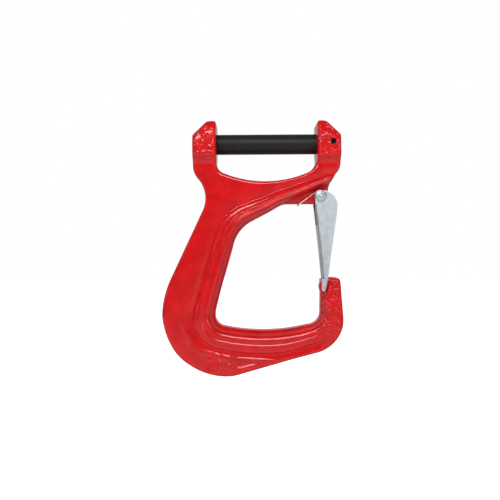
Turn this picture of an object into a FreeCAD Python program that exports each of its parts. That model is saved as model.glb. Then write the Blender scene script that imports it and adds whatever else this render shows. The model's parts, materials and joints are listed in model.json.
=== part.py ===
# Web sling hook: a drop-forged hook with two jaws that hold a load pin for a flat
# sling 100 mm wide, and a sprung sheet-metal latch across the mouth of the hook.
#
# Frame: the origin is on the axis of the load pin, half way between the jaws.
# +Z points up, to the sling. +X runs along the pin. The mouth of the hook is on
# the +X side and the part is the same at the front (-Y) and the back (+Y).
# All sizes are in millimetres.

import FreeCAD
import Part
import math
import os

V = FreeCAD.Vector

# ---------------------------------------------------------------- driving sizes
SLING_WIDTH = 100.0            # clear length of pin between the jaws
PIN_R = 10.0                   # load pin
PIN_BORE_R = 10.05
PIN_BLIND_END_X = -66.0        # the pin stops here, inside the left jaw
PIN_END_GAP = 0.3
PIN_SUNK = 1.0                 # how far its other end lies inside the right jaw
PIN_CHAMFER = 1.2
ROLL_PIN_R = 3.0               # slotted spring pin that locks the load pin
ROLL_PIN_WALL = 1.2
ROLL_PIN_GAP = 1.2
ROLL_PIN_X = 65.5
ROLL_PIN_CHAMFER = 0.6
ROLL_PIN_SUNK = 0.8
JAW_X = 74.0                   # outer face of each jaw
JAW_TOP_Z = 22.0
JAW_CHAMFER = 13.2
BOSS_HALF = 18.0               # half thickness of the boss round the load pin
BOSS_TOP_HALF = 15.5           # and where it narrows at the top of the jaw
BOSS_FLAT_TOP_Z = 9.0          # the boss is at its full thickness between these
BOSS_FLAT_END_Z = -11.5
BOSS_FOOT_Z = -19.5            # where its lower slope meets the plate

PLATE_HALF = 12.0              # half thickness of the jaws and the outer plate
GROOVE_HALF = 8.5              # half thickness at the floor of the groove
RIM_HALF = 15.0                # half thickness of the rim round the bowl
RIM_WIDTH = 16.0
GROOVE_WIDTH = 6.5

LUG_HALF = 5.0                 # ear under the upper arm that carries the latch
PIVOT_X = 53.8
PIVOT_Z = -53.3
RIVET_R = 3.5
RIVET_BORE_R = 3.55
RIVET_HEAD_R = 5.6
RIVET_HEAD_H = 2.6
RIVET_HEAD_GAP = 0.05

LATCH_HALF = 11.0              # outside half width of the latch channel
SHEET = 2.0
LATCH_BEND_R = 2.2
SPINE_HEAD = (48.3, -63.0)     # the outside of the spine, from the top down
SPINE_KINK = (52.8, -103.3)
SPINE_FOOT = (55.6, -134.0)
SPINE_TOP_Z = -62.5            # the spine itself runs between these heights
SPINE_END_Z = -136.0
SPINE_SLOT_HALF = 5.8          # notch that lets the ear through as the latch opens
SPINE_SLOT_END_Z = -82.0
POCKET_HALF = 8.7              # half thickness of the tip between the latch fingers

WIRE_R = 0.6                   # latch spring
COIL_R = 5.9                   # mean radius of its coils
COIL_SKIN = 0.05               # the plain ring is this much fuller than the wire
COIL_TURNS = 2
COIL_PITCH = 1.25
LEG_Y = 5.8                    # the leg beside the ear
SPRING_BRIDGE = (31.4, -61.9)  # where the wire passes under the ear
FOOT_Z = -78.0                 # hole in the cheek for the end of the wire
FOOT_HOLE_R = 0.75

BEYOND = 1.0                   # how far a cutting tool runs past the metal


# ---------------------------------------------------------------- small helpers
def at(point, y=0.0):
    """A point of the front view as a vector."""
    return V(point[0], y, point[1])


def outline_wire(start, steps):
    """A closed wire in the front view. A step is (end,) for a straight run and
    (middle, end) for an arc through the middle point."""
    edges = []
    here = start
    for step in steps:
        end = step[-1]
        if len(step) == 1:
            edges.append(Part.LineSegment(at(here), at(end)).toShape())
        else:
            edges.append(Part.Arc(at(here), at(step[0]), at(end)).toShape())
        here = end
    if here != start:
        edges.append(Part.LineSegment(at(here), at(start)).toShape())
    return Part.Wire(edges)


def slab(wire, half):
    """The wire's area, from half in front of the mid-plane to half behind it."""
    face = Part.Face(wire)
    face.translate(V(0, -half, 0))
    return face.extrude(V(0, 2 * half, 0))


def block(x0, x1, y0, y1, z0, z1):
    return Part.makeBox(x1 - x0, y1 - y0, z1 - z0, V(x0, y0, z0))


def rod(radius, y0, y1, x, z):
    """A round bar along Y, from one depth to another in either order."""
    return Part.makeCylinder(radius, abs(y1 - y0), V(x, min(y0, y1), z), V(0, 1, 0))


def cross_bar(radius, half, x, z):
    """A round bar along Y that reaches equally far to the front and the back."""
    return rod(radius, -half, half, x, z)


def round_edges(shape):
    return [e for e in shape.Edges if isinstance(e.Curve, Part.Circle)]


# ---------------------------------------------------------------- hook outlines
def bowl_steps():
    """Inside of the bowl, from the foot of the nub round to the upper arm."""
    return [
        ((53.5, -169.5),),
        ((50.4, -178.4), (41.0, -183.6)),
        ((-2.0, -188.9), (-42.5, -184.8)),
        ((-50.8, -180.4), (-53.8, -171.5)),
        ((-53.4, -168.3), (-52.6, -165.0)),
        ((-34.6, -103.0),),
        ((-28.2, -88.3), (-14.0, -76.6)),
        ((13.0, -62.6),),
    ]


def body_wire():
    """Everything that is forged in one piece, seen from the front."""
    jaw_in = SLING_WIDTH / 2
    chamfer_x = JAW_X - JAW_CHAMFER
    chamfer_z = JAW_TOP_Z - JAW_CHAMFER
    steps = [
        ((-chamfer_x, JAW_TOP_Z),),
        ((-JAW_X, chamfer_z),),
        ((-JAW_X, -22.0),),
        ((-73.0, -28.6), (-69.4, -34.6)),
        ((-61.8, -54.0), (-65.0, -68.0)),
        ((-95.0, -131.4),),
        ((-102.8, -151.5), (-105.6, -171.5)),
        ((-102.0, -189.8), (-92.6, -208.6)),
        ((-71.0, -226.6), (-41.0, -233.8)),
        ((-34.6, -233.4), (-28.5, -232.0)),
        ((52.0, -209.4),),
        ((67.0, -199.4), (75.5, -174.5)),
        ((72.8, -139.0),),
        ((71.4, -135.7), (68.4, -134.6)),
        ((58.2, -134.6),),
        ((58.2, -136.8),),
        ((54.9, -136.8),),
        ((52.5, -141.6), (53.5, -148.5)),
    ]
    steps += bowl_steps()
    steps += [
        ((16.2, -61.2), (19.8, -60.8)),
        ((55.0, -60.8),),
        ((60.0, -58.5), (61.8, -53.5)),
        ((62.1, -47.0),),
        ((62.9, -42.4), (65.0, -38.0)),
        ((69.4, -31.0),),
        ((72.8, -26.0), (JAW_X, -20.0)),
        ((JAW_X, chamfer_z),),
        ((chamfer_x, JAW_TOP_Z),),
        ((jaw_in, JAW_TOP_Z),),
        ((jaw_in, -16.0),),
        ((46.8, -24.6), (38.5, -30.4)),
        ((-1.5, -37.9), (-41.0, -30.4)),
        ((-48.2, -25.4), (-jaw_in, -17.0)),
        ((-jaw_in, JAW_TOP_Z),),
    ]
    return outline_wire((-jaw_in, JAW_TOP_Z), steps)


def bowl_wire():
    """The bowl as a closed shape. It also holds the ear, and closes at the mouth."""
    steps = bowl_steps()
    steps += [
        ((62.5, -41.5),),
        ((66.0, -41.5),),
        ((60.0, -120.0),),
        ((52.5, -128.0),),
        ((53.5, -148.5),),
    ]
    return outline_wire((53.5, -148.5), steps)


# ---------------------------------------------------------------- hook body
def make_hook_body():
    outline = body_wire()
    bowl = bowl_wire()
    tool_half = BOSS_HALF + BEYOND
    whole = slab(outline, tool_half)
    beside_rim = slab(bowl.makeOffset2D(RIM_WIDTH), RIM_HALF)
    inside_bowl = slab(bowl, tool_half)
    beside_groove = slab(bowl.makeOffset2D(RIM_WIDTH + GROOVE_WIDTH), tool_half)

    web = slab(outline, GROOVE_HALF).cut(inside_bowl)
    rim = beside_rim.common(whole).cut(inside_bowl)
    plate = slab(outline, PLATE_HALF).cut(beside_groove)
    ear = slab(outline, LUG_HALF)
    body = ear.fuse([web, rim, plate] + make_bosses(whole))
    body = body.removeSplitter()

    body = body.cut(make_latch_pockets())
    body = body.cut(cross_bar(RIVET_BORE_R, LUG_HALF + BEYOND, PIVOT_X, PIVOT_Z))
    bore_start = PIN_BLIND_END_X - PIN_END_GAP
    bore = Part.makeCylinder(PIN_BORE_R, JAW_X + BEYOND - bore_start,
                             V(bore_start, 0, 0), V(1, 0, 0))
    body = body.cut(bore)
    return body.cut(cross_bar(ROLL_PIN_R, tool_half, ROLL_PIN_X, 0))


def make_bosses(whole):
    """A thick block of metal round the load pin in each jaw."""
    right_half = [(BOSS_TOP_HALF, JAW_TOP_Z), (BOSS_HALF, BOSS_FLAT_TOP_Z),
                  (BOSS_HALF, BOSS_FLAT_END_Z), (PLATE_HALF, BOSS_FOOT_Z)]
    left_half = [(-y, z) for y, z in reversed(right_half)]
    corners = right_half + left_half + right_half[:1]
    jaw_in = SLING_WIDTH / 2
    bosses = []
    for x in (-JAW_X, jaw_in):
        profile = Part.Face(Part.makePolygon([V(x, y, z) for y, z in corners]))
        bosses.append(profile.extrude(V(JAW_X - jaw_in, 0, 0)).common(whole))
    return bosses


def make_latch_pockets():
    """Flats on both faces of the tip, where the latch fingers lie."""
    wire = outline_wire((48.0, -125.0), [
        ((66.8, -125.0),),
        ((63.5, -135.6),),
        ((56.6, -156.0),),
        ((48.0, -163.0),),
    ])
    deep = RIM_HALF + BEYOND - POCKET_HALF
    pockets = []
    for y in (-RIM_HALF - BEYOND, POCKET_HALF):
        face = Part.Face(wire)
        face.translate(V(0, y, 0))
        pockets.append(face.extrude(V(0, deep, 0)))
    return pockets


# ---------------------------------------------------------------- load pin
def make_load_pin():
    length = JAW_X - PIN_SUNK - PIN_BLIND_END_X
    pin = Part.makeCylinder(PIN_R, length, V(PIN_BLIND_END_X, 0, 0), V(1, 0, 0))
    pin = pin.makeChamfer(PIN_CHAMFER, round_edges(pin))
    return pin.cut(cross_bar(ROLL_PIN_R, PIN_R + BEYOND, ROLL_PIN_X, 0))


def make_roll_pin():
    """A slotted spring pin, rolled from strip and chamfered at both ends."""
    half = BOSS_HALF - ROLL_PIN_SUNK
    tool_half = half + BEYOND
    pin = cross_bar(ROLL_PIN_R, half, ROLL_PIN_X, 0)
    pin = pin.makeChamfer(ROLL_PIN_CHAMFER, round_edges(pin))
    pin = pin.cut(cross_bar(ROLL_PIN_R - ROLL_PIN_WALL, tool_half, ROLL_PIN_X, 0))
    slot = block(ROLL_PIN_X, ROLL_PIN_X + ROLL_PIN_R + BEYOND, -tool_half, tool_half,
                 -ROLL_PIN_GAP / 2, ROLL_PIN_GAP / 2)
    return pin.cut(slot)


# ---------------------------------------------------------------- latch
def cheek_wire():
    """One cheek of the latch: a round head, a long taper and a narrow finger."""
    return outline_wire(SPINE_FOOT, [
        (SPINE_KINK,),
        (SPINE_HEAD,),
        ((48.2, -54.0),),
        ((49.9, -49.7), (54.0, -47.8)),
        ((57.5, -47.9),),
        ((65.6, -52.0), (70.2, -62.5)),
        ((69.6, -71.0),),
        ((64.7, -103.3),),
        ((61.2, -129.0),),
        ((59.5, -139.3),),
        ((57.9, -146.6),),
        ((56.0, -148.6), (54.0, -146.6)),
        ((54.2, -136.4),),
    ])


def channel_hollow():
    """What is open between the cheeks: all but the spine, which is one sheet thick."""
    far_left = SPINE_HEAD[0] - 10
    far_right = JAW_X
    above = JAW_TOP_Z
    below = SPINE_END_Z - 30
    return outline_wire((SPINE_HEAD[0] + SHEET, SPINE_TOP_Z), [
        ((far_left, SPINE_TOP_Z),),
        ((far_left, above),),
        ((far_right, above),),
        ((far_right, below),),
        ((far_left, below),),
        ((far_left, SPINE_END_Z),),
        ((SPINE_FOOT[0] + SHEET, SPINE_END_Z),),
        ((SPINE_KINK[0] + SHEET, SPINE_KINK[1]),),
    ])


def spine_bends(latch):
    """The four long outside edges where the cheeks turn into the spine."""
    bends = []
    for edge in latch.Edges:
        ends = [edge.Vertexes[0].Point, edge.Vertexes[-1].Point]
        on_face = all(abs(abs(p.y) - LATCH_HALF) < 0.01 for p in ends)
        one_side = ends[0].y * ends[1].y > 0
        on_spine = all(min((p - at(q, p.y)).Length
                           for q in (SPINE_HEAD, SPINE_KINK, SPINE_FOOT)) < 0.01 for p in ends)
        if on_face and one_side and on_spine:
            bends.append(edge)
    return bends


def make_latch():
    """A channel pressed from sheet, open to the right and notched at the ear."""
    latch = slab(cheek_wire(), LATCH_HALF)
    latch = latch.makeFillet(LATCH_BEND_R, spine_bends(latch))
    latch = latch.cut(slab(channel_hollow(), LATCH_HALF - SHEET))
    latch = latch.cut(block(SPINE_HEAD[0] - BEYOND, SPINE_HEAD[0] + SHEET + BEYOND,
                            -SPINE_SLOT_HALF, SPINE_SLOT_HALF,
                            SPINE_SLOT_END_Z, SPINE_TOP_Z + BEYOND))
    tool_half = LATCH_HALF + BEYOND
    latch = latch.cut(cross_bar(RIVET_BORE_R, tool_half, PIVOT_X, PIVOT_Z))
    return latch.cut(cross_bar(FOOT_HOLE_R, tool_half, PIVOT_X + COIL_R, FOOT_Z))


def make_latch_rivet():
    """A rivet with a low dome at both ends."""
    face = LATCH_HALF + RIVET_HEAD_GAP
    rivet = cross_bar(RIVET_R, face, PIVOT_X, PIVOT_Z)
    dome_r = (RIVET_HEAD_R ** 2 + RIVET_HEAD_H ** 2) / (2 * RIVET_HEAD_H)
    for side in (-1, 1):
        centre = V(PIVOT_X, side * (face + RIVET_HEAD_H - dome_r), PIVOT_Z)
        ball = Part.makeSphere(dome_r, centre)
        cap = rod(RIVET_HEAD_R, side * face, side * (face + RIVET_HEAD_H), PIVOT_X, PIVOT_Z)
        rivet = rivet.fuse(cap.common(ball))
    return rivet.removeSplitter()


# ---------------------------------------------------------------- latch spring
def coil_touch():
    """Where the leg from the bridge runs on to the upper left of the coil."""
    to_bridge = at(SPRING_BRIDGE) - at((PIVOT_X, PIVOT_Z))
    turn = math.atan2(to_bridge.z, to_bridge.x) - math.acos(COIL_R / to_bridge.Length)
    return (PIVOT_X + COIL_R * math.cos(turn), PIVOT_Z + COIL_R * math.sin(turn))


def make_latch_spring():
    """A double torsion spring: a coil on the rivet at each side of the ear, joined
    by a bridge under the ear. Each free end is a foot in a hole of its cheek. Each
    coil is a plain ring here, as deep as its turns."""
    touch = coil_touch()
    leg_run = at(touch) - at(SPRING_BRIDGE)
    near = LEG_Y - WIRE_R
    far = near + COIL_TURNS * COIL_PITCH + 2 * WIRE_R
    foot_x = PIVOT_X + COIL_R
    pieces = [cross_bar(WIRE_R, LEG_Y + WIRE_R, *SPRING_BRIDGE)]
    for side in (-1, 1):
        pieces.append(Part.makeCylinder(WIRE_R, leg_run.Length,
                                        at(SPRING_BRIDGE, side * LEG_Y), leg_run))
        ring = rod(COIL_R + WIRE_R + COIL_SKIN, side * (near - COIL_SKIN),
                   side * (far + COIL_SKIN), PIVOT_X, PIVOT_Z)
        core = rod(COIL_R - WIRE_R - COIL_SKIN, 0, side * (far + BEYOND), PIVOT_X, PIVOT_Z)
        pieces.append(ring.cut(core))
        outer_y = side * (far - WIRE_R)
        pieces.append(Part.makeCylinder(WIRE_R, PIVOT_Z - FOOT_Z,
                                        V(foot_x, outer_y, FOOT_Z), V(0, 0, 1)))
        pieces.append(rod(WIRE_R, outer_y, side * LATCH_HALF, foot_x, FOOT_Z))
    return pieces[0].fuse(pieces[1:]).removeSplitter()


# ---------------------------------------------------------------- write the parts
PARTS = {
    "hook_body": make_hook_body,
    "load_pin": make_load_pin,
    "load_pin_roll_pin": make_roll_pin,
    "latch": make_latch,
    "latch_rivet": make_latch_rivet,
    "latch_spring": make_latch_spring,
}

os.makedirs("parts", exist_ok=True)
for name, make in PARTS.items():
    shape = make()
    solids = shape.Solids
    shape = solids[0] if len(solids) == 1 else Part.makeCompound(solids)
    shape.exportStep("parts/" + name + ".step")
    box = shape.BoundBox
    print(name, "solids", len(solids), "valid", shape.isValid(), "volume", round(shape.Volume),
          "x", round(box.XMin, 1), round(box.XMax, 1), "y", round(box.YMin, 1),
          round(box.YMax, 1), "z", round(box.ZMin, 1), round(box.ZMax, 1))
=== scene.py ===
# %% [markdown]
# A web sling hook in Blender. The design, the sizes and the latch's hinge come from
# the CAD frame, and this lesson gives each piece the surface that it has on the real
# thing: a red powder-coated forging, a blackened pin, a zinc-plated latch and a
# spring of bright wire. Blender works in metres here, and the lesson's own sizes are
# in millimetres, so every mesh is scaled by MM at the end.

# %% Load the frame
import json
import math
import bmesh
import bpy
import numpy as np
import openvdb
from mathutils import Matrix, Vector
from mathutils.geometry import delaunay_2d_cdt

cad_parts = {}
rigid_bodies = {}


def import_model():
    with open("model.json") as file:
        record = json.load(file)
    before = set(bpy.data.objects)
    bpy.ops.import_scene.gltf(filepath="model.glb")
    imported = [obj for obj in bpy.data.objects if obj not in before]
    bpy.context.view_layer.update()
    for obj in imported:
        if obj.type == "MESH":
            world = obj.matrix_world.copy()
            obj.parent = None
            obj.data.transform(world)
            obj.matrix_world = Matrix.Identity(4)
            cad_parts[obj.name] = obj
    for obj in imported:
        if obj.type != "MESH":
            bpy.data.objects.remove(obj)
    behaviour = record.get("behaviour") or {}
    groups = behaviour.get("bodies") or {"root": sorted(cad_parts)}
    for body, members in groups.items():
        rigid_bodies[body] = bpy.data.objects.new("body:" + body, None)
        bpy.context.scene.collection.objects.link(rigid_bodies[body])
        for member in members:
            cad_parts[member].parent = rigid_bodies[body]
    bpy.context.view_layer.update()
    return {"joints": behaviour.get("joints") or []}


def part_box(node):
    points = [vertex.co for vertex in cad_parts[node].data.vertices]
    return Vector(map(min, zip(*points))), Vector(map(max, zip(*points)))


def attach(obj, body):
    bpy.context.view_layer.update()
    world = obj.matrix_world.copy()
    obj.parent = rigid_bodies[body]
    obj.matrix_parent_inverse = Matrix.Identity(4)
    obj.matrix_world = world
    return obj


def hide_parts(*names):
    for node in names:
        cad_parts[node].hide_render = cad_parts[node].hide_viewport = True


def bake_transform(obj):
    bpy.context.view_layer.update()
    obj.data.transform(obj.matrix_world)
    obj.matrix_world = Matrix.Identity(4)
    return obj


MM = 0.001
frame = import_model()
scene = bpy.context.scene


def box_mm(node):
    """A CAD node's lowest and highest corners, in millimetres."""
    low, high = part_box(node)
    return np.array(low) / MM, np.array(high) / MM


# %% [markdown]
# The camera stands level in front of the hook. Its lens follows from how far away it
# is and how much it takes in, so the perspective is that of a close product picture.

# %% Camera, floor and light
VIEW_WIDTH = 507.5          # what the frame takes in at the hook's middle plane
CAMERA_AWAY = 558.0
CAMERA_X = -17.2
CAMERA_Z = -106.8
CAMERA_ROLL = math.radians(0.35)
SENSOR = 36.0

camera = bpy.data.objects.new("camera", bpy.data.cameras.new("camera"))
camera.data.sensor_width = SENSOR
camera.data.lens = SENSOR * CAMERA_AWAY / VIEW_WIDTH
camera.data.clip_start = 0.01
camera.location = Vector((CAMERA_X, -CAMERA_AWAY, CAMERA_Z)) * MM
camera.rotation_euler = (math.radians(90), CAMERA_ROLL, 0)
scene.collection.objects.link(camera)
scene.camera = camera
print("lens", round(camera.data.lens, 1), "mm")


# %% [markdown]
# Materials first. Each is made of the same few steps: a Principled shader, with noise
# in Object coordinates for what is uneven about the real finish. Sizes in a material
# are in metres too, so a pattern of a given size needs a scale of one over that size.

# %% Helpers for materials
def linear(hex_colour):
    """An sRGB colour such as "c81e20" as linear red, green, blue and alpha."""
    values = [int(hex_colour[i:i + 2], 16) / 255 for i in (0, 2, 4)]
    return [v / 12.92 if v <= 0.04045 else ((v + 0.055) / 1.055) ** 2.4 for v in values] + [1.0]


def add(tree, kind, links=(), **settings):
    """Adds a node. Settings name its properties or inputs, and links give
    (input of the new node, node it comes from, output of that node)."""
    node = tree.nodes.new(kind)
    for name, value in settings.items():
        plain = name.replace("_", " ")
        if hasattr(node, name):
            setattr(node, name, value)
        else:
            socket = next(s for s in node.inputs if s.name.lower() == plain.lower())
            socket.default_value = value
    for target, source, output in links:
        tree.links.new(source.outputs[output], node.inputs[target])
    return node


def new_material(name, **shader_values):
    """A material with a Principled shader and the Object coordinates it may use."""
    material = bpy.data.materials.new(name)
    material.use_nodes = True
    tree = material.node_tree
    tree.nodes.clear()
    shader = add(tree, "ShaderNodeBsdfPrincipled")
    for socket, value in shader_values.items():
        shader.inputs[socket.replace("_", " ")].default_value = value
    add(tree, "ShaderNodeOutputMaterial", links=[("Surface", shader, "BSDF")])
    place = add(tree, "ShaderNodeTexCoord")
    return material, tree, shader, place


def noise_of(tree, place, size, detail, output="Object"):
    """Noise with cells about that many metres wide."""
    return add(tree, "ShaderNodeTexNoise", [("Vector", place, output)], Scale=1 / size,
               Detail=detail)


def two_tones(tree, shader, noise, dark, light, between=(0.0, 1.0)):
    """Colours a shader from dark to light, as the noise goes from one value to the other."""
    colour = add(tree, "ShaderNodeValToRGB", [("Fac", noise, "Fac")])
    for element, position, tone in zip(colour.color_ramp.elements, between, (dark, light)):
        element.position = position
        element.color = linear(tone)
    tree.links.new(colour.outputs["Color"], shader.inputs["Base Color"])


# %% [markdown]
# Powder coat is a polyester film about 0.1 mm thick that is melted on to a blasted
# forging. It is glossy, it flows into a fine orange peel, and it still shows the
# shallow pits and dimples of the forged skin under it. Both are bump here, because
# they don't change the outline; the steps and grooves of the forging are in the mesh.

# %% Red powder coat
PEEL = 1.5 * MM             # width of an orange-peel cell
DIMPLE = 5.5 * MM           # width of a forging dimple under the coat
DIMPLE_DEPTH = 1.1 * MM
PEEL_DEPTH = 0.08 * MM
SCARS = [(-62, 6, 22), (62, 4, 22), (66, -165, 44), (-46, -224, 20)]    # x, z, reach in mm
SCAR_CORE = 0.4             # share of a scar's reach that is dimpled all over
SMOOTH_SKIN, SCARRED_SKIN = 0.06, 0.8       # how strongly the dimples show
DIMPLE_START, DIMPLE_FULL = 0.46, 0.7       # values of the noise


def scarred_places(tree, place):
    """A value of one in the scarred parts of the forging's skin, and zero elsewhere."""
    axes = add(tree, "ShaderNodeSeparateXYZ", [("Vector", place, "Object")])
    flat_place = add(tree, "ShaderNodeCombineXYZ", [("X", axes, "X"), ("Z", axes, "Z")])
    scarred = None
    for x, z, reach in SCARS:
        away = add(tree, "ShaderNodeVectorMath", [("Vector", flat_place, "Vector")],
                   operation="DISTANCE")
        away.inputs[1].default_value = (x * MM, 0, z * MM)
        near = add(tree, "ShaderNodeMapRange", [("Value", away, "Value")])
        near.inputs["From Min"].default_value = reach * MM
        near.inputs["From Max"].default_value = SCAR_CORE * reach * MM
        scarred = near if scarred is None else add(
            tree, "ShaderNodeMath", [(0, near, 0), (1, scarred, 0)], operation="MAXIMUM")
    return scarred


red_coat, tree, shader, place = new_material(
    "red_powder_coat_on_forging", Roughness=0.17, IOR=1.45)
tone = noise_of(tree, place, 14 * MM, 3.0)
two_tones(tree, shader, tone, "c61015", "dc151a", (0.35, 0.7))
strength = add(tree, "ShaderNodeMapRange", [("Value", scarred_places(tree, place), 0)])
strength.inputs["To Min"].default_value = SMOOTH_SKIN
strength.inputs["To Max"].default_value = SCARRED_SKIN
skin = noise_of(tree, place, DIMPLE, 1.5)
dimple = add(tree, "ShaderNodeMapRange", [("Value", skin, "Fac")],
             interpolation_type="SMOOTHSTEP")
dimple.inputs["From Min"].default_value = DIMPLE_START
dimple.inputs["From Max"].default_value = DIMPLE_FULL
peel = noise_of(tree, place, PEEL, 1.0)
coarse = add(tree, "ShaderNodeBump", [("Height", dimple, "Result"), ("Strength", strength, "Result")],
             Distance=DIMPLE_DEPTH)
fine = add(tree, "ShaderNodeBump", [("Height", peel, "Fac"), ("Normal", coarse, "Normal")],
           Strength=0.3, Distance=PEEL_DEPTH)
tree.links.new(fine.outputs["Normal"], shader.inputs["Normal"])
print("made", red_coat.name)

# %% [markdown]
# Black oxide is a thin brown-black skin grown on ground steel in a hot salt bath. Dry of
# its oil, it is a satin black, a little streaky round the bar.

# %% Black oxide
black_oxide, tree, shader, place = new_material(
    "black_oxide_on_ground_steel", Roughness=0.5, IOR=1.33)
streak = add(tree, "ShaderNodeMapping", [("Vector", place, "Object")])
streak.inputs["Scale"].default_value = (1.0, 0.12, 0.12)
grain = noise_of(tree, streak, 1.2 * MM, 3.0, output="Vector")
two_tones(tree, shader, grain, "141414", "211f1f", (0.3, 0.75))
ridge = add(tree, "ShaderNodeBump", [("Height", grain, "Fac")], Strength=0.25,
            Distance=0.03 * MM)
tree.links.new(ridge.outputs["Normal"], shader.inputs["Normal"])
print("made", black_oxide.name)

# %% [markdown]
# The latch is pressed from rolled strip and then barrel-plated in bright zinc with a
# pale blue passivate. Plating in a barrel leaves it lightly blotched and scuffed. On a
# sheared edge the metal is torn, so the same plating looks dull there. The edge colour
# below is darker still, as painted shade: it draws the dark outline along the latch's
# edges and the dark ring round each rivet head.

# %% Bright zinc
zinc, tree, shader, place = new_material("bright_zinc_on_pressed_strip", Metallic=0.85)
blotch = noise_of(tree, place, 6 * MM, 4.0)
two_tones(tree, shader, blotch, "b6bec5", "cbd2d8", (0.3, 0.7))
rolled = add(tree, "ShaderNodeMapping", [("Vector", place, "Object")])
rolled.inputs["Scale"].default_value = (1.0, 1.0, 0.08)
lines = noise_of(tree, rolled, 0.9 * MM, 2.0, output="Vector")
rough = add(tree, "ShaderNodeMapRange", [("Value", lines, "Fac")])
rough.inputs["To Min"].default_value = 0.42
rough.inputs["To Max"].default_value = 0.58
tree.links.new(rough.outputs["Result"], shader.inputs["Roughness"])
scuff = add(tree, "ShaderNodeBump", [("Height", lines, "Fac")], Strength=0.2,
            Distance=0.03 * MM)
tree.links.new(scuff.outputs["Normal"], shader.inputs["Normal"])
print("made", zinc.name)

# %% Bright zinc on a sheared edge, darkened with painted shade
# Dull sheared zinc, made darker still as painted shade for the edges and the rivet heads' rims.
zinc_edge_painted_shade, tree, shader, place = new_material(
    "dull_zinc_edge_with_painted_shade", Metallic=0.85, Roughness=0.6)
two_tones(tree, shader, noise_of(tree, place, 1.5 * MM, 2.0), "6a6e72", "868a8e")
print("made", zinc_edge_painted_shade.name)

# %% [markdown]
# Spring wire is drawn through a die, which leaves it bright with faint lines along it.
# The roll pin is rolled from strip of the same steel, hardened and left blued and dark.

# %% Drawn spring steel
spring_steel, tree, shader, place = new_material(
    "drawn_spring_steel", Metallic=1.0, Roughness=0.3)
two_tones(tree, shader, noise_of(tree, place, 1.0 * MM, 2.0), "a9a4a0", "cfcac6")
print("made", spring_steel.name)

# %% Blued strip
blued_steel, tree, shader, place = new_material(
    "blued_rolled_strip", Metallic=1.0, Roughness=0.45)
two_tones(tree, shader, noise_of(tree, place, 0.8 * MM, 2.0), "1d1b1b", "3a3634")
print("made", blued_steel.name)


# %% [markdown]
# A forging is shaped like the gap between two dies: no sharp corners, a slope on every
# wall, and a fillet wherever two levels meet. Modelling that by bevelling edges is
# slow, so the hook body is built as a distance field instead. Each level of the
# forging is a flat shape with a thickness and an edge radius, the levels are melted
# into each other with a smooth union, and the surface where the field is zero becomes
# the mesh. The outlines are those of the CAD body, in millimetres, seen from the front.

# %% Outlines of the forging
def arc_points(a, middle, b, spacing):
    """Points on the arc from a to b through middle, without a itself."""
    (ax, az), (mx, mz), (bx, bz) = a, middle, b
    d = 2 * (ax * (mz - bz) + mx * (bz - az) + bx * (az - mz))
    aa, mm, bb = ax * ax + az * az, mx * mx + mz * mz, bx * bx + bz * bz
    cx = (aa * (mz - bz) + mm * (bz - az) + bb * (az - mz)) / d
    cz = (aa * (bx - mx) + mm * (ax - bx) + bb * (mx - ax)) / d
    r = math.hypot(ax - cx, az - cz)
    start = math.atan2(az - cz, ax - cx)
    turn_m = (math.atan2(mz - cz, mx - cx) - start) % (2 * math.pi)
    turn_b = (math.atan2(bz - cz, bx - cx) - start) % (2 * math.pi)
    if turn_m > turn_b:
        turn_b -= 2 * math.pi
    count = max(3, int(abs(turn_b) * r / spacing))
    turns = [start + turn_b * i / count for i in range(1, count + 1)]
    return [(cx + r * math.cos(t), cz + r * math.sin(t)) for t in turns]


def outline(start, steps, spacing=1.2):
    """A closed outline. A step is (end,) for a straight run, (middle, end) for an arc."""
    points = [start]
    for step in steps:
        if len(step) == 1:
            points.append(step[0])
        else:
            points += arc_points(points[-1], *step, spacing)
    if points[-1] == start:
        points.pop()
    return np.array(points)


BOWL = [
    ((53.5, -169.5),),
    ((50.4, -178.4), (41.0, -183.6)),
    ((-2.0, -188.9), (-42.5, -184.8)),
    ((-50.8, -180.4), (-53.8, -171.5)),
    ((-53.4, -168.3), (-52.6, -165.0)),
    ((-34.6, -103.0),),
    ((-28.2, -88.3), (-14.0, -76.6)),
    ((13.0, -62.6),),
]
NUB = (53.5, -148.5)
LEFT_SIDE = [
    ((-50.9, 21.1), (-53.0, 22.0)),
    ((-57.1, 22.0),),
    ((-59.4, 21.5), (-61.4, 20.2)),
    ((-73.15, 8.45),),
    ((-73.8, 7.5), (-74.0, 6.4)),
    ((-74.0, -22.0),),
    ((-73.0, -28.6), (-69.4, -34.6)),
    ((-61.8, -54.0), (-65.0, -68.0)),
    ((-95.0, -131.4),),
]
BOTTOM = [
    ((-102.8, -151.5), (-105.6, -171.5)),
    ((-102.0, -189.8), (-92.6, -208.6)),
    ((-71.0, -226.6), (-41.0, -233.8)),
    ((-34.6, -233.4), (-28.5, -232.0)),
    ((52.0, -209.4),),
]
LEDGE = [
    ((-95.0, -163.0),),
    ((-88.0, -178.0),),
    ((-79.0, -193.0),),
    ((-75.0, -200.0), (-69.0, -205.6)),
    ((-60.6, -208.4),),
    ((-50.8, -211.4),),
    ((-34.2, -215.0),),
    ((5.0, -217.8),),
    ((52.0, -209.4),),
]
HOLLOW = [((-6.0, -219.4),), ((-30.0, -225.0),)]
TIP = [
    ((67.0, -199.4), (75.5, -174.5)),
    ((72.8, -139.0),),
    ((71.4, -135.7), (68.4, -134.6)),
    ((58.2, -134.6),),
    ((58.2, -136.8),),
    ((54.9, -136.8),),
    ((52.5, -141.6), NUB),
]
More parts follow.
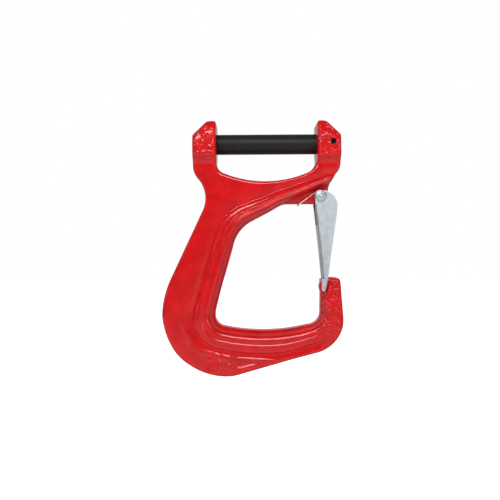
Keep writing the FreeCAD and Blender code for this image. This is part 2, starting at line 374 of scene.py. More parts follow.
EAR_AND_RIGHT_JAW = [
    ((16.2, -61.2), (19.8, -60.8)),
    ((55.0, -60.8),),
    ((60.0, -58.5), (61.8, -53.5)),
    ((62.1, -47.0),),
    ((62.9, -42.4), (65.0, -38.0)),
    ((69.4, -31.0),),
    ((72.8, -26.0), (74.0, -20.0)),
    ((74.0, 6.4),),
    ((73.8, 7.5), (73.15, 8.45)),
    ((61.4, 20.2),),
    ((59.4, 21.5), (57.1, 22.0)),
    ((53.0, 22.0),),
    ((50.9, 21.1), (50.0, 19.0)),
    ((50.0, -16.0),),
    ((46.8, -24.6), (38.5, -30.4)),
    ((-1.5, -37.9), (-41.0, -30.4)),
    ((-48.2, -25.4), (-50.0, -17.0)),
]
TOP_LEFT = (-50.0, 19.0)
body_outline = outline(TOP_LEFT, LEFT_SIDE + BOTTOM + TIP + BOWL + EAR_AND_RIGHT_JAW)
ledge_outline = outline(TOP_LEFT, LEFT_SIDE + LEDGE + TIP + BOWL + EAR_AND_RIGHT_JAW)
hollow_outline = outline((-36.0, -218.0), HOLLOW)
bowl_outline = outline(NUB, BOWL + [
    ((62.5, -41.5),), ((66.0, -41.5),), ((60.0, -120.0),), ((52.5, -128.0),), (NUB,)])
pocket_outline = outline((46.0, -125.0), [
    ((66.8, -125.0),), ((63.5, -135.6),), ((56.6, -156.0),), ((46.0, -165.0),)])
low, high = box_mm("hook_body")
print("outline", body_outline.min(0), body_outline.max(0), "CAD", low, high)

# %% [markdown]
# The distance from a grid of points to an outline, negative inside it, is the one
# tool that the whole forging is made with.

# %% Distance fields
VOXEL = 0.95


def distance_to(points):
    """The distance from every point of the grid to an outline, negative inside it."""
    nearest = np.full(GX.shape, 1e9)
    inside = np.zeros(GX.shape, bool)
    for (ax, az), (bx, bz) in zip(points, np.roll(points, -1, axis=0)):
        ux, uz = bx - ax, bz - az
        along = ((GX - ax) * ux + (GZ - az) * uz) / (ux * ux + uz * uz)
        along = np.clip(along, 0, 1)
        gap = (GX - ax - along * ux) ** 2 + (GZ - az - along * uz) ** 2
        nearest = np.minimum(nearest, gap)
        if az != bz:
            crosses = (az > GZ) != (bz > GZ)
            inside ^= crosses & (GX < ax + (GZ - az) * ux / uz)
    return np.where(inside, -1, 1) * np.sqrt(nearest)


def rounded(side, top, radius):
    """Where two distances meet, an edge with that radius."""
    a, b = side + radius, top + radius
    outside = np.sqrt(np.maximum(a, 0) ** 2 + np.maximum(b, 0) ** 2)
    return outside + np.minimum(np.maximum(a, b), 0) - radius


def melt(a, b, fillet):
    """Both shapes, with a fillet of about that size where they meet."""
    h = np.maximum(fillet - np.abs(a - b), 0) / fillet
    return np.minimum(a, b) - h * h * fillet / 4


def ramp(value, start, end):
    """0 before start, 1 after end, and smooth between them."""
    t = np.clip((value - start) / (end - start), 0, 1)
    return t * t * (3 - 2 * t)


margin = 3 * VOXEL
xs = np.arange(body_outline[:, 0].min() - margin, body_outline[:, 0].max() + margin, VOXEL)
zs = np.arange(body_outline[:, 1].min() - margin, body_outline[:, 1].max() + margin, VOXEL)
ys = np.arange(0, high[1] + margin, VOXEL)
GX, GZ = np.meshgrid(xs, zs, indexing="ij")
to_outline = distance_to(body_outline)
to_ledge = distance_to(ledge_outline)
to_hollow = distance_to(hollow_outline)
to_bowl = distance_to(bowl_outline)
to_pocket = distance_to(pocket_outline)
print("grid", GX.shape, "by", len(ys))

# %% [markdown]
# A section across the rim, from the bowl outwards, says almost everything: up a steep
# flank to a crease, over the rim, down into a shallow groove and up to the plate. It is
# drawn once as half thicknesses at twelve stations, and softened as a die is. The stations
# lie further apart round the bottom of the hook than along its upper arm.

# %% Section through the rim
SECTION = [0.6, 3.4, 13.0, 14.4, 15.3, 13.4, 14.7, 12.3, 12.8, 10.2, 11.3, 12.0]
SPINE_SECTION = [0.6, 3.4, 13.0, 14.4, 15.3, 14.4, 14.7, 12.6, 12.0, 9.8, 11.5, 12.0]
BELOW = [0, 0.8, 5.4, 7.4, 10.2, 12.8, 15.3, 19.8, 21.4, 23.6, 28.6, 34.0]   # mm from the bowl
ABOVE = [0, 0.03, 0.19, 0.26, 0.34, 0.43, 0.51, 0.64, 0.68, 0.80, 1.08, 1.35]   # shares
CREASE = 4                  # which station is the crease
SOFTNESS = 0.1              # how far the section's corners are spread, in stations
STEP = 0.01                 # of a station
stations = np.arange(0, len(SECTION) - 1, STEP)
window = np.exp(-0.5 * (np.arange(-0.5, 0.5 + STEP, STEP) / SOFTNESS) ** 2)


def softened(section):
    """A section's half thickness at every station, with its corners softened."""
    fine = np.arange(-0.5, len(section) - 0.5, STEP)
    sharp = np.interp(fine, range(len(section)), section)
    return np.convolve(sharp, window / window.sum(), "valid")[:len(stations)]


section_half, spine_half = softened(SECTION), softened(SPINE_SECTION)
stations = stations[:len(section_half)]

# Each of these is one where its name holds, and fades to zero over the millimetres given.
upper_arm = ramp(GZ, -115, -85)
left_arm = ramp(GZ, -182, -155) * (1 - upper_arm)
at_tip = ramp(GX, 36, 64) * ramp(-GZ, 100, 120) * (1 - ramp(-GZ, 182, 208))
bottom_right = ramp(GX, 10, 62) * ramp(-GZ, 150, 190)
above_bottom = ramp(GZ, -185, -150)
near_bottom = ramp(-GZ, 140, 180)
under_ear = ramp(GX, 0, 14) * ramp(GZ, -110, -80)

NARROWER_AT_TURN = 0.22     # shares by which the section is narrower in two places
NARROWER_ABOVE = 0.12
CROWN = 0.5                 # how far the bowl's wall stands out at its middle, in mm
CROWN_AT_BOTTOM = 1.1       # and how much further at the bottom
TIP_CREASE = 0.45           # share by which the crease is nearer to the bowl at the tip
narrowing = 1 - NARROWER_AT_TURN * bottom_right - NARROWER_ABOVE * above_bottom
crown = (CROWN + CROWN_AT_BOTTOM * near_bottom) * (1 - at_tip) * (1 - under_ear)
to_apex = to_bowl + crown
arm_plate = np.interp(GX, [-50, -27, -5, 32.5, 64], [27, 23.7, 19.4, 15, 12.6])     # mm to the plate


def station_line(index):
    """Where a station lies, as a distance from the bowl. On the upper arm it is a share
    of the distance to the plate, and at the tip the crease is nearer to the bowl."""
    below = BELOW[index] * narrowing
    line = below * (1 - upper_arm) + ABOVE[index] * arm_plate * upper_arm
    return line * (1 - TIP_CREASE * at_tip) if index <= CREASE else line


section_lines = [station_line(index) for index in range(len(SECTION))]
passed = sum(np.clip((to_apex - a) / (b - a), 0, 1)
             for a, b in zip(section_lines, section_lines[1:]))
section = np.interp(passed, stations, section_half)
section += (np.interp(passed, stations, spine_half) - section) * left_arm
on_rim = np.interp(np.minimum(passed, CREASE), stations, section_half)
section = section * (1 - at_tip) + on_rim * at_tip
print("section", round(float(section.min()), 1), "to", round(float(section.max()), 1), "mm")

# %% [markdown]
# What the section doesn't say is added to it: the boss round the load pin in each jaw,
# a ledge at the bottom left, where the forging drops to a thinner skirt, a long shallow
# hollow in that skirt, the thin ear for the latch, and flats for the latch's fingers. The
# bowl's wall is crowned: it stands out at its middle, where the two dies part.

# %% The forging
EAR_HALF = 5.0
POCKET_HALF = 8.7
EDGE_R = 3.2                # outer edge of the forging
RIM_R = 1.5                 # edge between the bowl's wall and the rim
LEDGE_DROP = 2.4
HOLLOW_DEPTH = 1.2
BEAD = 0.55                 # a raised line left by the die along the ledge
BEAD_INSIDE = 0.6           # mm from the ledge's line to the bead above it
SECOND_BEAD = 0.6           # share of its height that the bead at the ledge's foot has
LEDGE_FOOT = 2.8            # mm from the ledge's line to its foot
BOSS = [(-24.0, 6.0), (-19.5, 11.0), (-13.0, 17.4), (-10.5, 18.0), (22.0, 18.0)]    # z, half
BEVEL_AT = (54.0, 11.3)     # a bevel across the top outer corner of a jaw starts here,
BEVEL_LEAN = (0.42, 0.91)   # goes down in this direction
BOSS_BEVEL = 0.4            # at this slope
BEVEL_EDGE = 2.0            # and starts this softly
BOSS_FILLET = 4.0
EAR_FILLET = 2.0
POCKET_FILLET = 1.5
FLASH = 0.2                 # height of the trimmed flash line round the outline
FLASH_WIDTH = 1.6
FLASH_REACH = 3.0           # mm from the outline in which the flash line is raised
CROWN_REACH = 5.0           # the same for the crown of the bowl's wall


def forging():
    """The distance field of the hook, front half, as an array over x, y and z."""
    skirt = LEDGE_DROP * ramp(to_ledge, -0.8, LEDGE_FOOT) * ramp(GX, -90, -74)
    half = section - skirt - HOLLOW_DEPTH * ramp(-to_hollow, -0.3, 1.0)
    bead = np.exp(-(to_ledge + BEAD_INSIDE) ** 2)
    bead += SECOND_BEAD * np.exp(-(to_ledge - LEDGE_FOOT) ** 2)
    half += BEAD * bead * ramp(GX, -90, -78) * (1 - ramp(GX, 0, 20)) * ramp(-GZ, 170, 190)
    above = (np.abs(GX) - BEVEL_AT[0]) * BEVEL_LEAN[0] + (GZ - BEVEL_AT[1]) * BEVEL_LEAN[1]
    bevel = (above + np.sqrt(above ** 2 + BEVEL_EDGE ** 2)) / 2 * BOSS_BEVEL
    boss_half = (np.interp(GZ, *zip(*BOSS)) - bevel)[:, None, :]
    y = ys[None, :, None]
    near_bowl = np.exp(-(to_bowl / CROWN_REACH) ** 4)
    edge = (to_outline + FLASH - crown * near_bowl)[:, None, :]
    bowl = to_apex[:, None, :]

    levels = melt(y - half[:, None, :], y - boss_half, BOSS_FILLET)
    levels = rounded(-bowl, levels, RIM_R)
    levels = melt(levels, y - EAR_HALF, EAR_FILLET)
    edge_r = EDGE_R * ramp(np.abs(bowl), 0.5, 4.0)
    field = rounded(edge, levels, edge_r)
    pocket = np.maximum(to_pocket[:, None, :], POCKET_HALF - y)
    field = -melt(-field, pocket, POCKET_FILLET)
    near_edge = np.exp(-(edge / FLASH_REACH) ** 2)
    return field - FLASH * near_edge * np.exp(-(y / FLASH_WIDTH) ** 2)


half = forging()
field = np.concatenate([half[:, :0:-1, :], half], axis=1)
print("field", field.shape, "inside share", round(float((field < 0).mean()), 3))


# %% [markdown]
# OpenVDB, which comes with Blender, turns the field into a mesh of even quads. Round
# holes are drilled afterwards, because a drilled edge is crisp where a forged one is
# soft, and the drilling is done with a Boolean, as the real part is drilled.

# %% Helpers that make objects
def link_object(name, mesh, material):
    """A new object at the origin, with its mesh already in metres and in place."""
    mesh.materials.clear()
    mesh.materials.append(material)
    obj = bpy.data.objects.new(name, mesh)
    scene.collection.objects.link(obj)
    return obj


def with_modifiers_applied(obj):
    """Turns an object with live modifiers into one with a plain mesh."""
    bpy.context.view_layer.update()
    mesh = bpy.data.meshes.new_from_object(
        obj.evaluated_get(bpy.context.evaluated_depsgraph_get()))
    obj.modifiers.clear()
    obj.data = mesh
    return obj


def smooth_by_angle(mesh, degrees):
    """Shades a mesh smooth, and keeps the edges that turn by more than an angle."""
    bm = bmesh.new()
    bm.from_mesh(mesh)
    for face in bm.faces:
        face.smooth = True
    for edge in bm.edges:
        sharp = len(edge.link_faces) == 2 and edge.calc_face_angle() > math.radians(degrees)
        edge.smooth = not sharp
    bm.to_mesh(mesh)
    bm.free()


def lathe(profile, place, sides=96):
    """Turns a profile of (along, radius) points. place(along, a, b) gives the point
    for a distance along the axis and the two coordinates across it."""
    bm = bmesh.new()
    rings = []
    for along, radius in profile:
        if radius == 0:
            rings.append([bm.verts.new(Vector(place(along, 0, 0)) * MM)])
            continue
        turns = [2 * math.pi * i / sides for i in range(sides)]
        rings.append([bm.verts.new(Vector(place(
            along, radius * math.cos(t), radius * math.sin(t))) * MM) for t in turns])
    for ring, following in zip(rings, rings[1:]):
        for i in range(sides):
            j = (i + 1) % sides
            corners = [ring[i % len(ring)], ring[j % len(ring)],
                       following[j % len(following)], following[i % len(following)]]
            bm.faces.new(list(dict.fromkeys(corners)))
    bmesh.ops.recalc_face_normals(bm, faces=bm.faces)
    mesh = bpy.data.meshes.new("turned")
    bm.to_mesh(mesh)
    bm.free()
    return mesh


def along_x(centre_y, centre_z):
    """Places a lathe's profile along the X axis."""
    return lambda along, a, b: (along, centre_y + a, centre_z + b)


def along_y(centre_x, centre_z):
    """Places a lathe's profile along the Y axis."""
    return lambda along, a, b: (centre_x + a, along, centre_z + b)


def drill(obj, radius, start, end, place):
    """Cuts a round hole between two distances along its axis."""
    tool = link_object("drill", lathe([(start, 0), (start, radius), (end, radius), (end, 0)],
                                      place), red_coat)
    cut = obj.modifiers.new("hole", "BOOLEAN")
    cut.operation = "DIFFERENCE"
    cut.solver = "EXACT"
    cut.object = tool
    with_modifiers_applied(obj)
    bpy.data.objects.remove(tool)


# %% Hook body
PIN_BORE_R = 10.05
PIN_BLIND_END = -66.3
ROLL_PIN_X = 65.5
ROLL_PIN_R = 3.0
ROLL_PIN_HOLE_R = ROLL_PIN_R + 0.02
RIVET_BORE_R = 3.55
PAST = 1.0                  # how far a drill goes past a face
hinge = np.array(frame["joints"][0]["pos_m"]) / MM


def hook_body_mesh():
    """The surface where the field is zero, in metres."""
    grid = openvdb.FloatGrid(float(field.max()))
    grid.copyFromArray(np.ascontiguousarray(field, dtype=np.float32))
    points, quads = grid.convertToQuads(isovalue=0.0)
    corner = np.array([xs[0], -ys[-1], zs[0]])
    mesh = bpy.data.meshes.new("hook_body_forged")
    mesh.from_pydata((points * VOXEL + corner) * MM, [], quads.tolist())
    bm = bmesh.new()
    bm.from_mesh(mesh)
    bmesh.ops.remove_doubles(bm, verts=bm.verts, dist=0.01 * MM)
    bmesh.ops.recalc_face_normals(bm, faces=bm.faces)
    bm.to_mesh(mesh)
    bm.free()
    return mesh


hook = link_object("hook_body_forged", hook_body_mesh(), red_coat)
drill(hook, PIN_BORE_R, PIN_BLIND_END, high[0] + 2 * PAST, along_x(0, 0))
drill(hook, ROLL_PIN_HOLE_R, low[1] - 2 * PAST, high[1] + 2 * PAST, along_y(ROLL_PIN_X, 0))
drill(hook, RIVET_BORE_R, -EAR_HALF - PAST, EAR_HALF + PAST, along_y(hinge[0], hinge[2]))
smooth_by_angle(hook.data, 55)
print("hook body", len(hook.data.polygons), "faces")

# %% [markdown]
# The load pin is ground bar with a turned chamfer at each end. One end lies in a blind
# hole in the left jaw. The other is just inside the outer face of the right jaw, where
# the lathe's centre mark still shows.

# %% Load pin
PIN_R = 10.0
PIN_CHAMFER = 1.2
CENTRE_MARK_R = 1.6
CENTRE_MARK_DEPTH = 1.4
pin_low, pin_high = box_mm("load_pin")


def load_pin_mesh():
    """A bar with a chamfer at each end, whose edges are broken."""
    end = [(0, PIN_R - PIN_CHAMFER - 0.15), (0.1, PIN_R - PIN_CHAMFER),
           (PIN_CHAMFER, PIN_R - 0.08), (PIN_CHAMFER + 0.2, PIN_R)]
    left = [(pin_low[0] + along, r) for along, r in end]
    right = [(pin_high[0] - along, r) for along, r in reversed(end)]
    mark = [(pin_high[0], CENTRE_MARK_R), (pin_high[0] - CENTRE_MARK_DEPTH, 0)]
    return lathe([(pin_low[0], 0)] + left + right + mark, along_x(0, 0), sides=128)


pin = link_object("load_pin_ground", load_pin_mesh(), black_oxide)
drill(pin, ROLL_PIN_HOLE_R, -PIN_R - PAST, PIN_R + PAST, along_y(ROLL_PIN_X, 0))
smooth_by_angle(pin.data, 25)
print("load pin", round(pin_high[0] - pin_low[0]), "mm long")

# %% [markdown]
# The roll pin is strip rolled into a tube with an open slot. It is made as it is rolled:
# a C-shaped section, with the ends swaged in a little.

# %% Roll pin
ROLL_PIN_WALL = 1.2
ROLL_PIN_GAP = 1.2
ROLL_PIN_SWAGE = 0.6        # how much smaller an end's radius is
ROLL_PIN_LEAD = 1.0         # over this length
roll_low, roll_high = box_mm("load_pin_roll_pin")


def roll_pin_mesh():
    """A C-shaped section carried along Y, with both ends drawn in."""
    half_gap = math.asin(ROLL_PIN_GAP / 2 / ROLL_PIN_R)
    turns = np.linspace(half_gap, 2 * math.pi - half_gap, 49)
    inner = ROLL_PIN_R - ROLL_PIN_WALL
    cuts = [(roll_low[1], ROLL_PIN_SWAGE), (roll_low[1] + ROLL_PIN_LEAD, 0.0),
            (roll_high[1] - ROLL_PIN_LEAD, 0.0), (roll_high[1], ROLL_PIN_SWAGE)]
    bm = bmesh.new()
    rings = []
    for y, pinch in cuts:
        outer_r = ROLL_PIN_R - pinch
        ring = [(outer_r, t) for t in turns] + [(inner, t) for t in reversed(turns)]
        rings.append([bm.verts.new(Vector((ROLL_PIN_X + r * math.cos(t), y,
                                           r * math.sin(t))) * MM) for r, t in ring])
    for ring, following in zip(rings, rings[1:]):
        for i in range(len(ring)):
            j = (i + 1) % len(ring)
            bm.faces.new((ring[i], ring[j], following[j], following[i]))
    for ring in (rings[0], rings[-1]):
        for i in range(len(turns) - 1):
            bm.faces.new((ring[i], ring[i + 1], ring[-2 - i], ring[-1 - i]))
    bmesh.ops.recalc_face_normals(bm, faces=bm.faces)
    mesh = bpy.data.meshes.new("roll_pin")
    bm.to_mesh(mesh)
    bm.free()
    return mesh


roll_pin = link_object("roll_pin_rolled", roll_pin_mesh(), blued_steel)
smooth_by_angle(roll_pin.data, 30)
print("roll pin", round(roll_high[1] - roll_low[1], 1), "mm long")

# %% [markdown]
# The latch starts as a flat blank, and is bent. That is also the easiest way to model
# it: the blank's outline is drawn flat, filled with points, and every point is then
# moved to where the bend takes it. u runs across the blank from the middle of the
# spine, and z down it. Short relief cuts part the spine from the flat ears and fingers.

# %% Latch blank
SHEET = 2.0
MID_HALF = 10.0             # half width of the channel at the middle of the sheet
BEND_R = 1.2                # bend radius at the middle of the sheet
SPINE_FLAT = MID_HALF - BEND_R
BEND_ARC = BEND_R * math.pi / 2
CHEEK_START = SPINE_FLAT + BEND_ARC
SPINE_LINE = [(-40.0, 48.1), (-54.0, 48.2), (-63.0, 48.3), (-103.3, 52.8), (-134.0, 55.6),
              (-150.0, 55.8)]
SPINE_TOP = -62.5
SPINE_END = -136.0
SLOT_HALF = 5.8             # the slot at the top of the spine
SLOT_END = -82.0
RELIEF = 0.15               # half width of a relief cut
CHEEK_START_POINT = (48.2, -54.0)
CHEEK_ROOT_X = 48.3         # where the cheek meets the relief cut above the spine
CHEEK = [
    ((49.9, -49.7), (54.0, -47.8)),
    ((57.5, -47.9),),
    ((65.6, -52.0), (70.2, -62.5)),
    ((69.6, -71.0),),
    ((64.7, -103.3),),
    ((61.2, -129.0),),
    ((59.5, -139.3),),
    ((57.9, -146.6),),
    ((56.0, -148.6), (54.0, -146.6)),
    ((54.2, SPINE_END - RELIEF),),
]


def spine_x(z):
    """Where the middle of the spine's sheet is at a height."""
    heights, places = zip(*reversed(SPINE_LINE))
    return float(np.interp(z, heights, places)) + SHEET / 2


def to_blank(x, z):
    """A point of the cheek, seen from the side, on the flat blank."""
    return (CHEEK_START + x - spine_x(z) - BEND_R, z)


def to_channel(u, z):
    """A point of the blank after bending."""
    side = -1 if u < 0 else 1
    flat = abs(u) - CHEEK_START
    x = spine_x(z)
    if z > SPINE_TOP + RELIEF / 2 or z < SPINE_END - RELIEF / 2:
        return (x + BEND_R + flat, side * MID_HALF, z)
    if flat > 0:
        return (x + BEND_R + flat, side * MID_HALF, z)
    if abs(u) > SPINE_FLAT:
        turn = (abs(u) - SPINE_FLAT) / BEND_R
        return (x + BEND_R * (1 - math.cos(turn)),
                side * (SPINE_FLAT + BEND_R * math.sin(turn)), z)
    return (x, u, z)


def half_blank():
    """The blank's outline for u above zero, from the slot round the cheek to the spine."""
    top, end = SPINE_TOP, SPINE_END
    edge = [(SLOT_HALF, SLOT_END), (SLOT_HALF, top - RELIEF), (CHEEK_START, top - RELIEF),
            (CHEEK_START, top + RELIEF), to_blank(CHEEK_ROOT_X, top + RELIEF)]
    edge += [to_blank(x, z) for x, z in outline(CHEEK_START_POINT, CHEEK, spacing=0.5)]
    return edge + [(CHEEK_START, end - RELIEF), (CHEEK_START, end + RELIEF)]


right = half_blank()
blank = np.array(right + [(-u, z) for u, z in reversed(right)])
print("blank", round(float(np.ptp(blank[:, 0]))), "by", round(float(np.ptp(blank[:, 1]))), "mm")


# %% Fill, bend and thicken the latch
FILL_ACROSS = 1.6           # spacing of the points that fill the blank
FILL_DOWN = 1.8
FILL_CLEAR = 0.6            # how near to an edge they may come


def inside(point, polygon):
    """Whether a point is inside a polygon."""
    (px, py), result = point, False
    for (ax, ay), (bx, by) in zip(polygon, np.roll(polygon, -1, axis=0)):
        if (ay > py) != (by > py) and px < ax + (py - ay) * (bx - ax) / (by - ay):
            result = not result
    return result


def circle(centre, radius, count):
    """Points round a circle."""
    return [(centre[0] + radius * math.cos(2 * math.pi * i / count),
             centre[1] + radius * math.sin(2 * math.pi * i / count)) for i in range(count)]


def divided(loop, spacing):
    """A loop with extra points along its long sides."""
    points = []
    for a, b in zip(loop, loop[1:] + loop[:1]):
        count = max(1, int(math.dist(a, b) / spacing))
        points += [(a[0] + (b[0] - a[0]) * i / count, a[1] + (b[1] - a[1]) * i / count)
                   for i in range(count)]
    return points


def latch_mesh():
    """The middle of the sheet, filled with faces as a flat blank and then bent."""
    u, z = to_blank(hinge[0], hinge[2])
    holes = [circle((side * u, z), RIVET_BORE_R, 32) for side in (-1, 1)]
    loops = [divided([tuple(p) for p in blank], FILL_ACROSS)] + holes
    points, edges = [], []
    for loop in loops:
        first = len(points)
        points += loop
        edges += [(first + i, first + (i + 1) % len(loop)) for i in range(len(loop))]
    rim = np.array(points)
    bend_lines = list(np.linspace(SPINE_FLAT, CHEEK_START, 7))
    across = [0.0, 2.0, 4.0, 6.2] + bend_lines
    across += list(np.arange(CHEEK_START + FILL_ACROSS, blank[:, 0].max(), FILL_ACROSS))
    for u in [-v for v in across[:0:-1]] + across:
        for z in np.arange(-148, -48, FILL_DOWN):
            clear = np.min(np.hypot(rim[:, 0] - u, rim[:, 1] - z)) > FILL_CLEAR
            if clear and inside((u, z), blank):
                points.append((u, float(z)))
    result = delaunay_2d_cdt([Vector(p) for p in points], edges, [], 0, 1e-5)
    flat, faces = result[0], result[2]
    kept = []
    for face in faces:
        middle = sum((flat[i] for i in face), Vector((0, 0))) / len(face)
        if inside(middle, blank) and not any(inside(middle, np.array(h)) for h in holes):
            kept.append(face)
    mesh = bpy.data.meshes.new("latch")
    mesh.from_pydata([Vector(to_channel(p.x, p.y)) * MM for p in flat], [], kept)
    bm = bmesh.new()
    bm.from_mesh(mesh)
    bmesh.ops.delete(bm, geom=[v for v in bm.verts if not v.link_faces], context="VERTS")
    bmesh.ops.recalc_face_normals(bm, faces=bm.faces)
    bm.to_mesh(mesh)
    bm.free()
    return mesh


latch = link_object("latch_pressed", latch_mesh(), zinc)
latch.data.materials.append(zinc_edge_painted_shade)
thicken = latch.modifiers.new("sheet", "SOLIDIFY")
thicken.thickness = SHEET * MM
thicken.offset = 0
# Rim and bevel faces take the second material: dull sheared metal, darkened further as painted shade.
thicken.material_offset_rim = 1
soften = latch.modifiers.new("edges", "BEVEL")
soften.width = 0.5 * MM
soften.segments = 2
soften.material = 1
soften.limit_method = "ANGLE"
soften.angle_limit = math.radians(50)
with_modifiers_applied(latch)
smooth_by_angle(latch.data, 35)
print("latch", len(latch.data.polygons), "faces")

# %% [markdown]
# A rivet is turned wire with one head formed when it is made and the other closed over
# in the press. Both are low domes here, with the ring that the tool presses into them.

# %% Latch rivet
RIVET_R = 3.5
HEAD_R = 5.6
HEAD_HEIGHT = 2.6
HEAD_RIM = 1.0              # upright edge of a head
TOOL_R = 2.9                # ring that the closing tool leaves in a head
TOOL_DEPTH = 0.45
rivet_high = box_mm("latch_rivet")[1]


def rivet_mesh():
    """Both halves of the rivet, turned from one profile."""
    seat = rivet_high[1] - HEAD_HEIGHT
    crown = HEAD_HEIGHT - HEAD_RIM
    ball = (HEAD_R ** 2 + crown ** 2) / (2 * crown)
    dome = []
    for i in range(12):
        r = HEAD_R + (TOOL_R - HEAD_R) * i / 11
        dome.append((seat + HEAD_RIM + math.sqrt(ball ** 2 - r ** 2) - ball + crown, r))
    top = dome[-1][0]
    mark = [(top - TOOL_DEPTH, TOOL_R - 0.4), (top - TOOL_DEPTH, TOOL_R - 0.7),
            (top - 0.1, TOOL_R - 1.1)]
    half = [(0, RIVET_R), (seat, RIVET_R), (seat, HEAD_R)] + dome + mark + [(rivet_high[1], 0)]
    profile = [(-along, r) for along, r in reversed(half[1:])] + half[1:]
    return lathe(profile, along_y(hinge[0], hinge[2]), sides=64)


rivet = link_object("latch_rivet_domed", rivet_mesh(), zinc)
rivet.data.materials.append(zinc_edge_painted_shade)
UPRIGHT = 0.6               # a face that turns less than this towards Y is on an edge
# The heads' upright faces take the dark edge material: a painted shadow ring round each head.
for face in rivet.data.polygons:
    face.material_index = int(abs(face.normal.y) < UPRIGHT)
smooth_by_angle(rivet.data, 40)
print("rivet heads", 2 * HEAD_R, "mm across")

# %% [markdown]
# The spring is one wire: a foot in a cheek, a coil, a leg to the bridge under the ear,
# and the same again behind. Its path is points from a formula, and a Geometry Nodes
# tree sweeps a circle along it. On the real hook the coils wind up as the latch opens,
# since the foot turns with the latch while the leg stays with the hook; here the wire
# is made once, in its rest shape. A foot ends inside the sheet of its cheek, so no hole
# shows from outside.

# %% Spring wire with Geometry Nodes
WIRE_R = 0.6
WIRE_SIDES = 16
COIL_R = 5.9
FOOT_Z = -78.0
FOOT_BEND = 1.0
LEG_Y = 5.8
COIL_PITCH = 1.25
TURNS = 2
COIL_STEPS = 112            # straight steps that a coil is made of
BRIDGE_X = 31.4
BRIDGE_Z = -61.9
WIRE_BEND = 1.5


def wire_tree():
    """A tree that makes round wire of a given radius from a path."""
    tree = bpy.data.node_groups.new("round_wire", "GeometryNodeTree")
    sockets = tree.interface
    sockets.new_socket("Geometry", in_out="INPUT", socket_type="NodeSocketGeometry")
    sockets.new_socket("Wire radius", in_out="INPUT", socket_type="NodeSocketFloat")
    sockets.new_socket("Sides", in_out="INPUT", socket_type="NodeSocketInt")
    sockets.new_socket("Material", in_out="INPUT", socket_type="NodeSocketMaterial")
    sockets.new_socket("Geometry", in_out="OUTPUT", socket_type="NodeSocketGeometry")
    given = add(tree, "NodeGroupInput")
    ring = add(tree, "GeometryNodeCurvePrimitiveCircle", [
        ("Resolution", given, "Sides"), ("Radius", given, "Wire radius")])
    swept = add(tree, "GeometryNodeCurveToMesh", [
        ("Curve", given, "Geometry"), ("Profile Curve", ring, "Curve")])
    swept.inputs["Fill Caps"].default_value = True
    smooth = add(tree, "GeometryNodeSetShadeSmooth", [("Geometry", swept, "Mesh")])
    real = add(tree, "GeometryNodeRealizeInstances", [("Geometry", smooth, "Geometry")])
    coloured = add(tree, "GeometryNodeSetMaterial", [
        ("Geometry", real, "Geometry"), ("Material", given, "Material")])
    add(tree, "NodeGroupOutput", [("Geometry", coloured, "Geometry")])
    return tree


def corner(before, at, after, radius):
    """Points round a corner of a wire, in place of the sharp one."""
    before, at, after = (np.array(p, float) for p in (before, at, after))
    a = at + (before - at) / np.linalg.norm(before - at) * radius
    b = at + (after - at) / np.linalg.norm(after - at) * radius
    return [tuple((1 - t) ** 2 * a + 2 * t * (1 - t) * at + t * t * b)
            for t in np.linspace(0, 1, 9)]


def spring_path(side):
    """Half of the spring, from the middle of the bridge to the foot."""
    px, pz = hinge[0], hinge[2]
    dx, dz = BRIDGE_X - px, BRIDGE_Z - pz
    reach = math.hypot(dx, dz)
    start = math.atan2(dz, dx) - math.acos(COIL_R / reach)
    start %= 2 * math.pi
    touch = (px + COIL_R * math.cos(start), side * LEG_Y, pz + COIL_R * math.sin(start))
    middle, bend = (BRIDGE_X, 0, BRIDGE_Z), (BRIDGE_X, side * LEG_Y, BRIDGE_Z)
    path = [middle] + corner(middle, bend, touch, WIRE_BEND)
    sweep = start + 2 * math.pi * TURNS
    for i in range(COIL_STEPS + 1):
        turn = start - sweep * i / COIL_STEPS
        y = side * (LEG_Y + TURNS * COIL_PITCH * i / COIL_STEPS)
        path.append((px + COIL_R * math.cos(turn), y, pz + COIL_R * math.sin(turn)))
    foot = (px + COIL_R, path[-1][1], FOOT_Z)
    tip = (px + COIL_R, side * MID_HALF, FOOT_Z)
    return path + corner(path[-1], foot, tip, FOOT_BEND) + [tip]


def wire_from(path, name, tree):
    """Sweeps round wire along a path, with the Geometry Nodes tree."""
    curve = bpy.data.curves.new(name, "CURVE")
    curve.dimensions = "3D"
    spline = curve.splines.new("POLY")
    spline.points.add(len(path) - 1)
    for point, place in zip(spline.points, path):
        point.co = (*(np.array(place) * MM), 1)
    source = bpy.data.objects.new(name, curve)
    scene.collection.objects.link(source)
    modifier = source.modifiers.new("wire", "NODES")
    modifier.node_group = tree
    inputs = {s.name: s.identifier for s in tree.interface.items_tree if s.in_out == "INPUT"}
    modifier[inputs["Wire radius"]] = WIRE_R * MM
    modifier[inputs["Sides"]] = WIRE_SIDES
    modifier[inputs["Material"]] = spring_steel
    bpy.context.view_layer.update()
    mesh = bpy.data.meshes.new_from_object(
        source.evaluated_get(bpy.context.evaluated_depsgraph_get()))
    bpy.data.objects.remove(source)
    return link_object(name, mesh, spring_steel)


round_wire = wire_tree()
springs = {side: wire_from(spring_path(side), name, round_wire)
           for side, name in ((-1, "latch_spring_front"), (1, "latch_spring_back"))}
print("spring wire", [len(s.data.polygons) for s in springs.values()], "faces")

# %% [markdown]
# Every piece but the spring now gets the body that it moves with, and the CAD node that it
# stands for is hidden. The spring's wire keeps its place, with its transform applied. The
# record's slot that a finish belongs to is listed beside each piece, but nothing reads it.

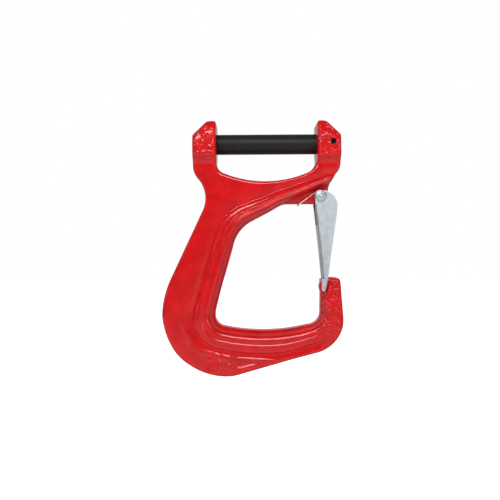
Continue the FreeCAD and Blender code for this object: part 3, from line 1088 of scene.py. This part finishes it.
# %% Bodies, nodes and slots
ROOT = frame["joints"][0]["parent"]
MOVING = frame["joints"][0]["child"]
for piece, body, node, slot in (
        (hook, ROOT, "hook_body", "red_powder_coat"),
        (pin, ROOT, "load_pin", "black_oxide"),
        (roll_pin, ROOT, "load_pin_roll_pin", "spring_steel"),
        (latch, MOVING, "latch", "bright_zinc"),
        (rivet, MOVING, "latch_rivet", "bright_zinc")):
    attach(piece, body)
    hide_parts(node)
for side, spring in springs.items():
    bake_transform(spring)
    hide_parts("latch_spring")
print("rides", ROOT, "and", MOVING)

# %% [markdown]
# A white floor and a white surround, as in a product studio. One key light above the
# camera and three weak strips leave highlights on the rounded edges of the forging, and
# little light comes from elsewhere, so that its steps and grooves keep their shading.

# %% Studio
FLOOR_Z = -420.0
FLOOR_HALF = 6000.0
AMBIENT = 0.1               # what the white surround gives the hook, of the white it shows
BACKGROUND = 0.65           # the same for the lit background, far behind the hook


def seen_white(tree):
    """A strength of one where the camera sees the studio, and AMBIENT elsewhere."""
    ray = add(tree, "ShaderNodeLightPath")
    strength = add(tree, "ShaderNodeMapRange", [("Value", ray, "Is Camera Ray")])
    strength.inputs["To Min"].default_value = AMBIENT
    strength.inputs["To Max"].default_value = 1.0
    return strength


def lit_behind(tree, strength):
    """Makes AMBIENT grow to BACKGROUND towards +Y, where the background is lit."""
    direction = add(tree, "ShaderNodeTexCoord")
    axes = add(tree, "ShaderNodeSeparateXYZ", [("Vector", direction, "Generated")])
    behind = add(tree, "ShaderNodeMapRange", [("Value", axes, "Y")])
    behind.inputs["From Min"].default_value = 0.1
    behind.inputs["From Max"].default_value = 0.5
    behind.inputs["To Min"].default_value = AMBIENT
    behind.inputs["To Max"].default_value = BACKGROUND
    tree.links.new(behind.outputs["Result"], strength.inputs["To Min"])


def add_floor():
    """The white floor, which isn't part of the hook."""
    material, tree, shader, place = new_material("white_floor", Roughness=0.9)
    shader.inputs["Base Color"].default_value = linear("e8e8e8")
    shader.inputs["Emission Color"].default_value = (1, 1, 1, 1)
    tree.links.new(seen_white(tree).outputs["Result"], shader.inputs["Emission Strength"])
    mesh = bpy.data.meshes.new("floor")
    corners = [(-1, -1), (1, -1), (1, 1), (-1, 1)]
    mesh.from_pydata([Vector((x * FLOOR_HALF, y * FLOOR_HALF, FLOOR_Z)) * MM
                      for x, y in corners], [], [(0, 1, 2, 3)])
    link_object("floor", mesh, material)


def add_softbox(name, place, aim, width, height, watts):
    """A soft rectangular light at a place, turned towards another."""
    light = bpy.data.lights.new(name, "AREA")
    light.shape = "RECTANGLE"
    light.size, light.size_y = width * MM, height * MM
    light.energy = watts
    obj = bpy.data.objects.new(name, light)
    obj.location = Vector(place) * MM
    direction = (Vector(aim) - Vector(place)) * MM
    obj.rotation_euler = direction.to_track_quat("-Z", "Y").to_euler()
    scene.collection.objects.link(obj)


add_floor()
middle = (CAMERA_X, 0, CAMERA_Z)
add_softbox("key_above_camera", (-150, -1050, 600), middle, 820, 360, 11.0)
add_softbox("low_left", (-350, -900, -640), middle, 420, 80, 1.4)
add_softbox("strip_right", (700, -950, 100), middle, 60, 600, 2.0)
add_softbox("strip_left", (-950, -850, 100), middle, 60, 600, 0.8)

world = bpy.data.worlds.new("white_surround")
scene.world = world
world.use_nodes = True
tree = world.node_tree
tree.nodes.clear()
surround = seen_white(tree)
lit_behind(tree, surround)
white = add(tree, "ShaderNodeBackground", [("Strength", surround, "Result")])
white.inputs["Color"].default_value = (1, 1, 1, 1)
add(tree, "ShaderNodeOutputWorld", [("Surface", white, "Background")])
scene.view_settings.view_transform = "Standard"
